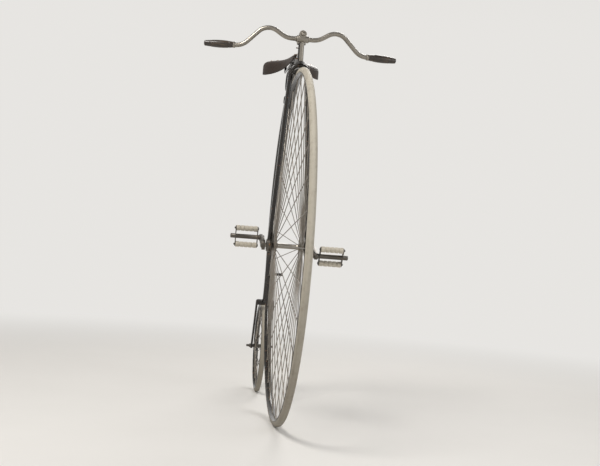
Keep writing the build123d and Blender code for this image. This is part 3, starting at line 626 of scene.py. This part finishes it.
def mergedCopy(node):
    piece = bpy.data.objects.new(node + "Copy", nodes[node].data.copy())
    bpy.context.collection.objects.link(piece)
    activate(piece)
    bpy.ops.object.mode_set(mode="EDIT")
    bpy.ops.mesh.select_all(action="SELECT")
    bpy.ops.mesh.remove_doubles(threshold=mergeDistances.get(node, 0.01 * mm))
    bpy.ops.object.mode_set(mode="OBJECT")
    return piece


def camelName(node):
    words = node.split("_")
    return words[0] + "".join(word.title() for word in words[1:])


# solid pieces whose sharp CAD edges are eased, as far as the mesh's short edges let them be
easedNodes = {
    # node: width of the eased edge in mm
    "crank_left": 1.1, "crank_right": 1.1, "steering_head": 0.9, "fork_crown": 1.2,
    "rear_fork": 0.8, "saddle_frame": 0.7, "saddle_clips": 0.7, "saddle_spring": 0.8,
    "spring_seat": 0.8, "spring_shackle": 0.8, "mounting_step": 0.6,
    "pedal_cage_left": 0.5, "pedal_cage_right": 0.5, "pedal_rubbers_left": 0.5,
    "pedal_rubbers_right": 0.5, "bearing_housing_left": 0.6, "bearing_housing_right": 0.6,
}
smoothNodes = {                        # tubes and legs, shaded smooth along their length
    "backbone": "backboneTube", "neck": "neckArm", "handlebar": "handlebarTube",
    "fork_leg_left": "forkLegLeft", "fork_leg_right": "forkLegRight",
}


def makeEased(node, width):
    piece = mergedCopy(node)
    bpy.ops.object.mode_set(mode="EDIT")
    bpy.ops.mesh.dissolve_limited(angle_limit=math.radians(1.5))
    bpy.ops.object.mode_set(mode="OBJECT")
    modify(piece, "BEVEL", width=width * mm, segments=2, limit_method="ANGLE",
           angle_limit=math.radians(38), use_clamp_overlap=True)
    settle(piece, camelName(node), bodyOf[node], slotOf[node], [node], 32)


for node, width in easedNodes.items():
    makeEased(node, width)
for node, name in smoothNodes.items():
    settle(mergedCopy(node), name, bodyOf[node], slotOf[node], [node], 45)
print("eased pieces made")


def makeNut(foot, axis, width, height, washer=0.0, stud=0.0):
    # a chamfered hexagon on a washer, with the bolt's end standing out of it
    corner = width / math.sqrt(3)
    base = 1.2 * mm if washer else 0.0
    parts = []
    if washer:
        parts.append(turned([(0, 0), (washer, 0), (washer, base * 0.7), (washer * 0.94, base),
                             (0, base)], foot, axis, 24))
    parts.append(turned([(0, base), (corner, base), (corner, height * 0.86), (corner * 0.86, height),
                         (0, height)], foot, axis, 6))
    if stud:
        tip = width * 0.30
        parts.append(turned([(0, height), (tip, height), (tip, height + stud * 0.7),
                             (tip * 0.7, height + stud), (0, height + stud)], foot, axis, 16))
    return joined(parts)


def makeDome(foot, axis, radius, height, skirt=0.0, steps=24):
    # a rounded cap: an upright skirt, then a quarter of an ellipse up to the middle
    profile = [(0, 0), (radius, 0), (radius, skirt)]
    for index in range(1, 7):
        turn = math.radians(90 * index / 6)
        profile.append((radius * math.cos(turn) if index < 6 else 0,
                        skirt + (height - skirt) * math.sin(turn)))
    return turned(profile, foot, axis, steps)


def makeCollar(foot, axis, radius, width, wall):
    # a brazed ring round a tube, rounded over its width
    profile = [(radius - wall, -width / 2)]
    for index in range(7):
        turn = math.radians(180 * index / 6)
        profile.append((radius + wall * math.sin(turn), -math.cos(turn) * width / 2))
    profile.append((radius - wall, width / 2))
    return turned(profile + profile[:1], foot, axis, 40)


def makeOilCup(foot, axis, size):
    profile = [(0, 0), (0.55, 0), (0.55, 0.9), (1.0, 1.3), (1.0, 2.2), (0.82, 2.3), (0.82, 2.5),
               (1.05, 2.6), (1.05, 2.9), (0.6, 3.3), (0, 3.4)]
    return turned([(radius * size, along * size) for radius, along in profile], foot, axis, 20)


# front hub: turned axle, end caps, crank keys, oil cups and cap bolts of the bearing housings
hubSizes = {
    "barrel": 9 * mm, "seat": 12 * mm, "shaft": 8 * mm, "flangeIn": 44 * mm, "flangeOut": 56 * mm,
    "endCap": 11.5 * mm, "capHeight": 6.5 * mm, "keyRadius": 3.0 * mm, "keyLength": 41 * mm,
    "keyOut": 10.5 * mm, "keyThread": 8 * mm, "keyNut": 9 * mm, "keyNutHeight": 4 * mm,
    "keyWasher": 5.2 * mm, "cupSize": 3.4 * mm, "bandWidth": 5 * mm, "bandWall": 0.9 * mm,
    "capBolt": 8 * mm, "capBoltHeight": 4.6 * mm, "capWasher": 5.4 * mm, "capBoltTurn": 32,
}


def makeFrontAxle():
    sizes = hubSizes
    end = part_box("front_axle")[1].y
    barrel, seat, shaft = sizes["barrel"], sizes["seat"], sizes["shaft"]
    flangeIn, flangeOut = sizes["flangeIn"], sizes["flangeOut"]
    half = [
        (barrel, 0), (barrel, flangeIn - 9 * mm), (seat, flangeIn - 4 * mm),
        (seat + 1.5 * mm, flangeIn - 3 * mm), (seat + 1.5 * mm, flangeIn), (seat, flangeIn),
        (seat, flangeOut), (shaft + 2 * mm, flangeOut + 1 * mm), (shaft, flangeOut + 2 * mm),
        (shaft, end), (0, end),
    ]
    profile = [(radius, -along) for radius, along in half[::-1]] + half[1:]
    axle = turned(profile, frontHub, leftward, 40)
    settle(axle, "frontAxle", "front_wheel", "bright_steel", ["front_axle"], 40)


def makeCrankParts(side):
    out = leftward * sides[side]
    along = pins[side] - frontHub
    along.y = 0
    along.normalize()
    sizes = hubSizes
    inner, outer = reach("crank_" + side, out, frontHub)
    cap = makeDome(frontHub + out * outer, out, sizes["endCap"], sizes["capHeight"], 2 * mm)
    squareDown = along.cross(out).normalized()
    keyMiddle = frontHub + out * (inner + outer) / 2 + along * sizes["keyOut"]
    length, head, thread = sizes["keyLength"], sizes["keyRadius"] * 1.1, sizes["keyRadius"] * 0.8
    plain = length - sizes["keyThread"]
    profile = [(0, 0), (head, 0), (head, plain), (thread, plain + 1 * mm), (thread, length),
               (0, length)]
    key = turned(profile, keyMiddle - squareDown * length / 2, squareDown, 16)
    nutFoot = keyMiddle + squareDown * (length / 2 - sizes["keyThread"] + 1 * mm)
    nut = makeNut(nutFoot, squareDown, sizes["keyNut"], sizes["keyNutHeight"], sizes["keyWasher"])
    settle(joined([cap, key, nut]), "crankKey" + side.title(), "front_wheel", "dark_steel")


def makeHousingParts(side):
    sizes = hubSizes
    out = leftward * sides[side]
    node = "bearing_housing_" + side
    inner, outer = reach(node, out, frontHub)
    radius = reach(node, steerAhead, frontHub)[1]
    centre = frontHub + out * (inner + outer) / 2
    cup = makeOilCup(centre + steerAhead * (radius - 1 * mm), steerAhead, sizes["cupSize"])
    settle(cup, "oilCup" + side.title(), "steering", "old_copper")
    bolts = []
    for swing in (-sizes["capBoltTurn"], sizes["capBoltTurn"]):
        down = Quaternion(leftward, math.radians(swing)) @ -steerUp
        bolts.append(makeNut(centre + down * (radius - 0.6 * mm), down, sizes["capBolt"],
                             sizes["capBoltHeight"], sizes["capWasher"], 2 * mm))
    band = makeCollar(centre, out, radius, sizes["bandWidth"], sizes["bandWall"])
    settle(joined(bolts + [band]), "housingBolts" + side.title(), "steering", "dark_steel")


makeFrontAxle()
for side in sides:
    makeCrankParts(side)
    makeHousingParts(side)
print("front hub made")


# pedals: nuts on the rubbers' rods, the pin's inner nut and the rounded cap
pedalSizes = {
    "rodOffset": 31 * mm, "plate": 3 * mm, "rodNut": 8.5 * mm, "nutHeight": 3.2 * mm,
    "cap": 8.3 * mm, "capHeight": 3.2 * mm, "pin": 6 * mm, "pinCollar": 10 * mm,
    "collarWidth": 3 * mm, "coneTip": 7.5 * mm, "coneEnd": 6 * mm, "pinNut": 17 * mm,
    "pinWasher": 10.8 * mm,
}


def makePedalParts(side):
    out = leftward * sides[side]
    across = longAxis("pedal_rubbers_" + side, flat=True)
    inner, outer = reach("pedal_rubbers_" + side, out, frontHub)
    sizes = pedalSizes
    plate, nutWidth, nutHeight = sizes["plate"], sizes["rodNut"], sizes["nutHeight"]
    pin = Vector((pins[side].x, frontHub.y, pins[side].z))
    parts = []
    for offset in (-sizes["rodOffset"], sizes["rodOffset"]):
        rod = pin + across * offset
        parts.append(makeNut(rod + out * (outer + plate), out, nutWidth, nutHeight, 0, 1.5 * mm))
        parts.append(makeNut(rod + out * (inner - plate), -out, nutWidth, nutHeight * 0.8))
    capTop = reach("pedal_cage_" + side, out, frontHub)[1]
    parts.append(makeDome(pin + out * (capTop - 1.2 * mm), out, sizes["cap"],
                          sizes["capHeight"], 0.8 * mm))
    settle(joined(parts), "pedalNuts" + side.title(), "pedal_" + side, "dark_steel")

    nutFoot, tip = reach("pedal_pin_" + side, out, frontHub)
    crankIn, crankOut = reach("crank_" + side, out, frontHub)
    collar, length, rod, wide = (crankOut - nutFoot, tip - nutFoot, sizes["pin"],
                                 sizes["pinCollar"])
    coneEnd = collar + sizes["coneEnd"]
    profile = [(0, 0), (rod, 0), (rod, collar), (wide, collar),
               (wide, collar + sizes["collarWidth"]), (sizes["coneTip"], coneEnd),
               (rod, coneEnd), (rod, length), (0, length)]
    shaft = turned(rounded(profile), pin + out * nutFoot, out, 28)
    nut = makeNut(pin + out * crankIn, -out, sizes["pinNut"], crankIn - nutFoot - 1 * mm,
                  sizes["pinWasher"])
    settle(joined([shaft, nut]), "pedalPin" + side.title(), "front_wheel", "dark_steel",
           ["pedal_pin_" + side])


for side in sides:
    makePedalParts(side)
print("pedals made")


# rear hub and axle
rearSizes = {
    "axle": 5 * mm, "cone": 7.5 * mm, "tip": 4.2 * mm, "nut": 15 * mm, "nutHeight": 7 * mm,
    "washer": 9.5 * mm, "barrel": 8.5 * mm, "lip": 7.5 * mm, "bore": 5.2 * mm,
    "cupSize": 2.4 * mm, "cupOut": 8 * mm,
}


def makeRearAxle():
    sizes = rearSizes
    rod, cone = sizes["axle"], sizes["cone"]
    fork = reach("rear_fork", leftward, rearHub)[1]
    tip = reach("rear_axle", leftward, rearHub)[1]
    barrel = reach("rear_hub", leftward, rearHub)[1]
    half = [(rod, 0), (rod, barrel + 0.4 * mm), (cone, barrel + 0.6 * mm),
            (cone, fork - 8.2 * mm), (rod, fork - 8 * mm), (rod, tip - 1 * mm),
            (sizes["tip"], tip), (0, tip)]
    profile = [(radius, -along) for radius, along in half[::-1]] + half[1:]
    parts = [turned(profile, rearHub, leftward, 28)]
    for side in sides.values():
        out = leftward * side
        parts.append(makeNut(rearHub + out * fork, out, sizes["nut"], sizes["nutHeight"],
                             sizes["washer"]))
    settle(joined(parts), "rearAxle", "frame", "dark_steel", ["rear_axle"])


def makeRearHub():
    sizes = rearSizes
    radius, end = sizes["barrel"], reach("rear_hub", leftward, rearHub)[1]
    seat, footOut = wheels["rear"]["bore"], wheels["rear"]["footOut"]
    half = [(radius, 0), (radius, footOut - 6 * mm), (seat, footOut - 4 * mm),
            (seat, footOut + 4 * mm), (radius, footOut + 5 * mm), (radius, end - 1 * mm),
            (sizes["lip"], end), (sizes["bore"], end)]
    profile = [(radius, -along) for radius, along in half[::-1]] + half[1:]
    barrel = turned(profile + profile[:1], rearHub, leftward, 32)
    cup = makeOilCup(rearHub + forward * sizes["cupOut"], forward, sizes["cupSize"])
    settle(joined([barrel, cup]), "rearHub", "rear_wheel", "dark_steel", ["rear_hub"])


makeRearAxle()
makeRearHub()
print("rear hub made")


# steering head: centre bolt, lock ring, front boss and brazed collars on the bar
headSizes = {
    "boltTop": 14 * mm, "shank": 5 * mm, "ring": 12 * mm, "ringHeight": 3.4 * mm,
    "hexagon": 16 * mm, "hexagonHeight": 5 * mm, "dome": 6.6 * mm, "domeHeight": 6 * mm,
    "bossDrop": 14 * mm, "bossHeight": 5.4 * mm, "bossSkirt": 2.2 * mm,
    "barDrop": 17 * mm, "barBack": 13 * mm, "bar": 8.6 * mm, "collarWidth": 4.5 * mm,
    "collarWall": 1.5 * mm, "collarOut": 2.2 * mm,
    "cupDrops": (14 * mm, 54 * mm), "cupOut": 10 * mm, "cupSize": 2.6 * mm,
}


def makeHeadBolt():
    sizes = headSizes
    low, high = reach("head_bolt", steerUp, frontHub)
    shank, ring, plateTop = sizes["shank"], sizes["ring"], high - sizes["boltTop"]
    bolt = turned([(0, low), (shank, low), (shank, plateTop), (0, plateTop)], frontHub,
                  steerUp, 24)
    profile = [(0, 0), (ring, 0), (ring, sizes["ringHeight"]), (0, sizes["ringHeight"])]
    ringNut = turned(rounded(profile, 0.6 * mm), steerPoint(plateTop), steerUp, 36)
    hexagonFoot = plateTop + sizes["ringHeight"]
    hexagon = makeNut(steerPoint(hexagonFoot), steerUp, sizes["hexagon"], sizes["hexagonHeight"])
    domeFoot = hexagonFoot + sizes["hexagonHeight"] - 0.4 * mm
    dome = makeDome(steerPoint(domeFoot), steerUp, sizes["dome"], sizes["domeHeight"], 1 * mm)
    settle(joined([bolt, ringNut, hexagon, dome]), "headBolt", "steering", "bright_steel",
           ["head_bolt"])


def makeLugParts():
    sizes = headSizes
    front = reach("steering_head", steerAhead, frontHub)[1]
    bossAlong = reach("steering_head", steerUp, frontHub)[1] - sizes["bossDrop"]
    parts = [makeDome(steerPoint(bossAlong, front - 3 * mm), steerAhead, sizes["dome"],
                      sizes["bossHeight"], sizes["bossSkirt"], 28)]
    collarOut = reach("steering_head", leftward, frontHub)[1] + sizes["collarOut"]
    for side in sides.values():
        place = steerPoint(bossAlong - sizes["barDrop"], front - sizes["barBack"], side * collarOut)
        parts.append(makeCollar(place, leftward, sizes["bar"], sizes["collarWidth"],
                                sizes["collarWall"]))
    settle(joined(parts), "lugBolt", "steering", "bright_steel")


def makeNeckCups():                    # two oil cups on the right of the neck's boss
    top = reach("neck", steerUp, frontHub)[1]
    cups = [makeOilCup(steerPoint(top - drop, 0, -headSizes["cupOut"]), -leftward,
                       headSizes["cupSize"]) for drop in headSizes["cupDrops"]]
    settle(joined(cups), "neckCups", "frame", "old_copper")


makeHeadBolt()
makeLugParts()
makeNeckCups()
print("steering head made")


# grips: turned handles with ring grooves, and a ferrule where each meets the bar
gripSizes = {
    "bore": 8.55 * mm, "neck": 10.2 * mm, "swell": 4.2 * mm, "ferrule": 11.4 * mm,
    "ferruleLength": 8 * mm, "ferruleBore": 8.3 * mm, "barShare": 0.885, "tip": 5 * mm,
    "grooves": (0.16, 0.19, 0.80, 0.83), "grooveDepth": 0.7 * mm, "steps": 60,
}


def makeGrip(side):
    node = "grip_" + side
    axis = longAxis(node)
    axis *= math.copysign(1, axis.y * sides[side])
    centre = middle(node)
    low, high = reach(node, axis, centre)
    foot, length = centre + axis * low, high - low
    sizes = gripSizes
    start, bore = sizes["ferruleLength"] * 0.6, sizes["bore"]
    barEnd, tipFoot, steps = length * sizes["barShare"], length - sizes["tip"], sizes["steps"]
    profile = [(0, barEnd), (bore, barEnd), (bore, start), (sizes["neck"], start)]
    for index in range(1, steps):
        share = index / steps
        along = start + (tipFoot - start) * share
        radius = sizes["neck"] + sizes["swell"] * math.sin(math.pi * share ** 0.9)
        if any(abs(share - groove) < 0.5 / steps for groove in sizes["grooves"]):
            radius -= sizes["grooveDepth"]
        profile.append((radius, along))
    for index in range(6):
        turn = math.radians(90 * index / 5)
        profile.append((sizes["neck"] * math.cos(turn) if index < 5 else 0,
                        tipFoot + sizes["tip"] * math.sin(turn)))
    grip = turned(profile, foot, axis, 36)
    settle(grip, "grip" + side.title(), "steering", "grip_horn", [node], 45)
    radius, inside, end = sizes["ferrule"], sizes["ferruleBore"], sizes["ferruleLength"]
    profile = [(inside, -1 * mm), (radius - 1.2 * mm, -1 * mm), (radius, 0.6 * mm),
               (radius, end), (inside, end)]
    ferrule = turned(rounded(profile, 0.4 * mm, True), foot, axis, 36)
    settle(ferrule, "ferrule" + side.title(), "steering", "bright_steel")


for side in sides:
    makeGrip(side)
print("grips made")


# frame: brazed collars on the backbone, and the saddle's, spring's and shackle's bolts
frameSizes = {
    "pathRadius": 699 * mm,            # the backbone's middle line, from the front hub
    "jointTurn": 104,                  # degrees round the hub to the upper collar
    "forkSlope": 30,                   # degrees by which the rear fork leans back
    "upperCollar": (17.2 * mm, 9 * mm, 1.6 * mm),      # radius, width, wall
    "lowerCollar": (12.8 * mm, 7 * mm, 1.5 * mm),
    "clipBolt": 6.5 * mm, "clipBoltHeight": 3.6 * mm, "clipBoltIn": 10 * mm,
    "clipBoltOut": 16 * mm, "seatCap": 7.5 * mm, "seatCapHeight": 3.4 * mm,
    "tailNut": 10 * mm, "tailNutHeight": 5 * mm, "tailWasher": 6.5 * mm,
}


def makeFrameCollars():
    sizes = frameSizes
    jointTurn, forkSlope = math.radians(sizes["jointTurn"]), math.radians(sizes["forkSlope"])
    radial = forward * math.cos(jointTurn) + upward * math.sin(jointTurn)
    upper = makeCollar(frontHub + radial * sizes["pathRadius"], radial.cross(leftward),
                       *sizes["upperCollar"])
    forkDown = Vector((-math.sin(forkSlope), 0, -math.cos(forkSlope)))
    crownTop = reach("rear_fork", forkDown, rearHub)[0]
    lower = makeCollar(rearHub + forkDown * (crownTop - 3 * mm), forkDown, *sizes["lowerCollar"])
    settle(joined([upper, lower]), "frameCollars", "frame", "black_enamel")


def makeSaddleBolts():
    sizes = frameSizes
    clips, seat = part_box("saddle_clips"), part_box("spring_seat")
    spring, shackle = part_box("saddle_spring"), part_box("spring_shackle")
    clipBottom, springTop = clips[0].z, spring[1].z
    bolts = []
    for ahead in (clips[0].x + sizes["clipBoltIn"], clips[1].x - sizes["clipBoltIn"]):
        for out in (-sizes["clipBoltOut"], sizes["clipBoltOut"]):
            bolts.append(makeNut(Vector((ahead, out, clipBottom)), -upward, sizes["clipBolt"],
                                 sizes["clipBoltHeight"], 0, 2 * mm))
    seatMiddle = (seat[0].x + seat[1].x) / 2
    bolts.append(makeDome(Vector((seatMiddle, 0, springTop)), upward, sizes["seatCap"],
                          sizes["seatCapHeight"], 0.6 * mm))
    tailTop = spring[0].z + 5 * mm     # the spring's leaf is 5 mm thick at its tail
    tailMiddle = (shackle[0].x + shackle[1].x) / 2 + 4 * mm
    bolts.append(makeNut(Vector((tailMiddle, 0, tailTop)), upward, sizes["tailNut"],
                         sizes["tailNutHeight"], sizes["tailWasher"], 2 * mm))
    settle(joined(bolts), "saddleBolts", "frame", "bright_steel")


makeFrameCollars()
makeSaddleBolts()
print("frame parts made")


# saddle leather: the solid arch remeshed, drawn back onto its own surface and softly edged
leatherSizes = {
    "voxel": 1.5 * mm, "smoothing": (8, 8, 8), "lastSmoothing": 4,
    "rivetRadius": 5.0 * mm, "rivetHeight": 2.2 * mm, "rearIn": 14, "rearBow": 0.0032,
    "rearRivets": (-80, -54, -27, 0, 27, 54, 80), "noseRivets": ((104, 0), (94, -9), (94, 9)),
}


def makeLeatherSeat():
    shape = mergedCopy("saddle_leather")
    piece = mergedCopy("saddle_leather")
    modify(piece, "REMESH", mode="VOXEL", voxel_size=leatherSizes["voxel"], adaptivity=0.0)
    for iterations in leatherSizes["smoothing"]:       # the voxels' steps go, the form stays
        modify(piece, "SMOOTH", factor=0.5, iterations=iterations)
        modify(piece, "SHRINKWRAP", target=shape, wrap_method="NEAREST_SURFACEPOINT")
    modify(piece, "SMOOTH", factor=0.5, iterations=leatherSizes["lastSmoothing"])
    bpy.data.objects.remove(shape)
    settle(piece, "saddleLeather", "frame", "saddle_leather", ["saddle_leather"], 180)
    return piece


def makeRivets(leather):
    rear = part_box("saddle_leather")[0].x / mm + leatherSizes["rearIn"]
    places = [(rear + out ** 2 * leatherSizes["rearBow"], out) for out in leatherSizes["rearRivets"]]
    rivets = []
    for ahead, out in places + list(leatherSizes["noseRivets"]):
        start = Vector((ahead * mm, out * mm, 0.1))
        hit, place, normal, _ = leather.ray_cast(start, -upward)
        if hit:
            rivets.append(makeDome(place - normal * 0.3 * mm, normal, leatherSizes["rivetRadius"],
                                   leatherSizes["rivetHeight"], 0.4 * mm, 18))
    settle(joined(rivets), "saddleRivets", "frame", "old_copper")


leatherSeat = makeLeatherSeat()
makeRivets(leatherSeat)
print("saddle made")


# floor, backdrop and light
backdrop = (0.80, 0.785, 0.76)
floorSizes = {"half": 30.0, "fadeFrom": 1.5, "fadeTo": 4.5}


def makeFloor():
    deselect()
    bpy.ops.mesh.primitive_plane_add(size=floorSizes["half"] * 2, location=(0, 0, floorLevel))
    floor = bpy.context.object
    floor.name = "floor"
    bpy.ops.object.transform_apply(location=True)
    paint = Paint("paleFloor")
    grain = paint.noise(3, 3)
    colour = paint.blend(grain, (0.775, 0.76, 0.735), (0.805, 0.79, 0.765))
    near = paint.node("ShaderNodeBsdfPrincipled", {}, {"Base Color": colour, "Roughness": 0.9})
    far = paint.node("ShaderNodeEmission", {}, {"Color": (*backdrop, 1), "Strength": 1.0})
    away = paint.step(paint.distance((0, 0, floorLevel)), floorSizes["fadeFrom"],
                      floorSizes["fadeTo"])
    seen = paint.step(paint.seenRays(), 0.1, 0.9)
    mixed = paint.node("ShaderNodeMixShader", {}, [away * seen, near, far])
    paint.node("ShaderNodeOutputMaterial", {}, {"Surface": mixed})
    floor.data.materials.append(paint.made)


def makeWorld():
    paint = Paint("paleRoom", world=True)
    bpy.context.scene.world = paint.made
    height = paint.axis(paint.node("ShaderNodeTexCoord", output="Generated"), "Z")
    shade = paint.blend(paint.step(height, 0.18, 0.80), backdrop, (0.34, 0.335, 0.33))
    sky = paint.node("ShaderNodeBackground", {}, {"Color": (0.93, 0.915, 0.89, 1),
                                                  "Strength": 0.42})
    seen = paint.node("ShaderNodeBackground", {}, {"Color": shade, "Strength": 1.0})
    mixed = paint.node("ShaderNodeMixShader", {}, [paint.seenRays(), sky, seen])
    paint.node("ShaderNodeOutputWorld", {}, {"Surface": mixed})


lamps = [
    # name, place, aim, size, watts, colour
    ("keyLamp", (2.2, -1.9, 3.0), (0.1, 0, -0.6), 1.6, 130, (1.0, 0.97, 0.93)),
    ("fillLamp", (2.4, 3.0, 0.9), (0.1, 0, -0.7), 2.4, 30, (0.95, 0.97, 1.0)),
    ("rimLamp", (-3.0, 1.2, 1.8), (0.0, 0, -0.6), 1.6, 50, (1.0, 0.98, 0.95)),
]


def makeLamps():
    for name, place, aim, size, watts, colour in lamps:
        turn = (Vector(aim) - Vector(place)).to_track_quat("-Z", "Y")
        bpy.ops.object.light_add(type="AREA", location=place, rotation=turn.to_euler())
        lamp = bpy.context.object
        lamp.name = name
        lamp.data.shape = "DISK"
        lamp.data.size = size
        lamp.data.energy = watts
        lamp.data.color = colour


makeFloor()
makeWorld()
makeLamps()
bpy.context.scene.view_settings.view_transform = "Standard"
print("stage set")
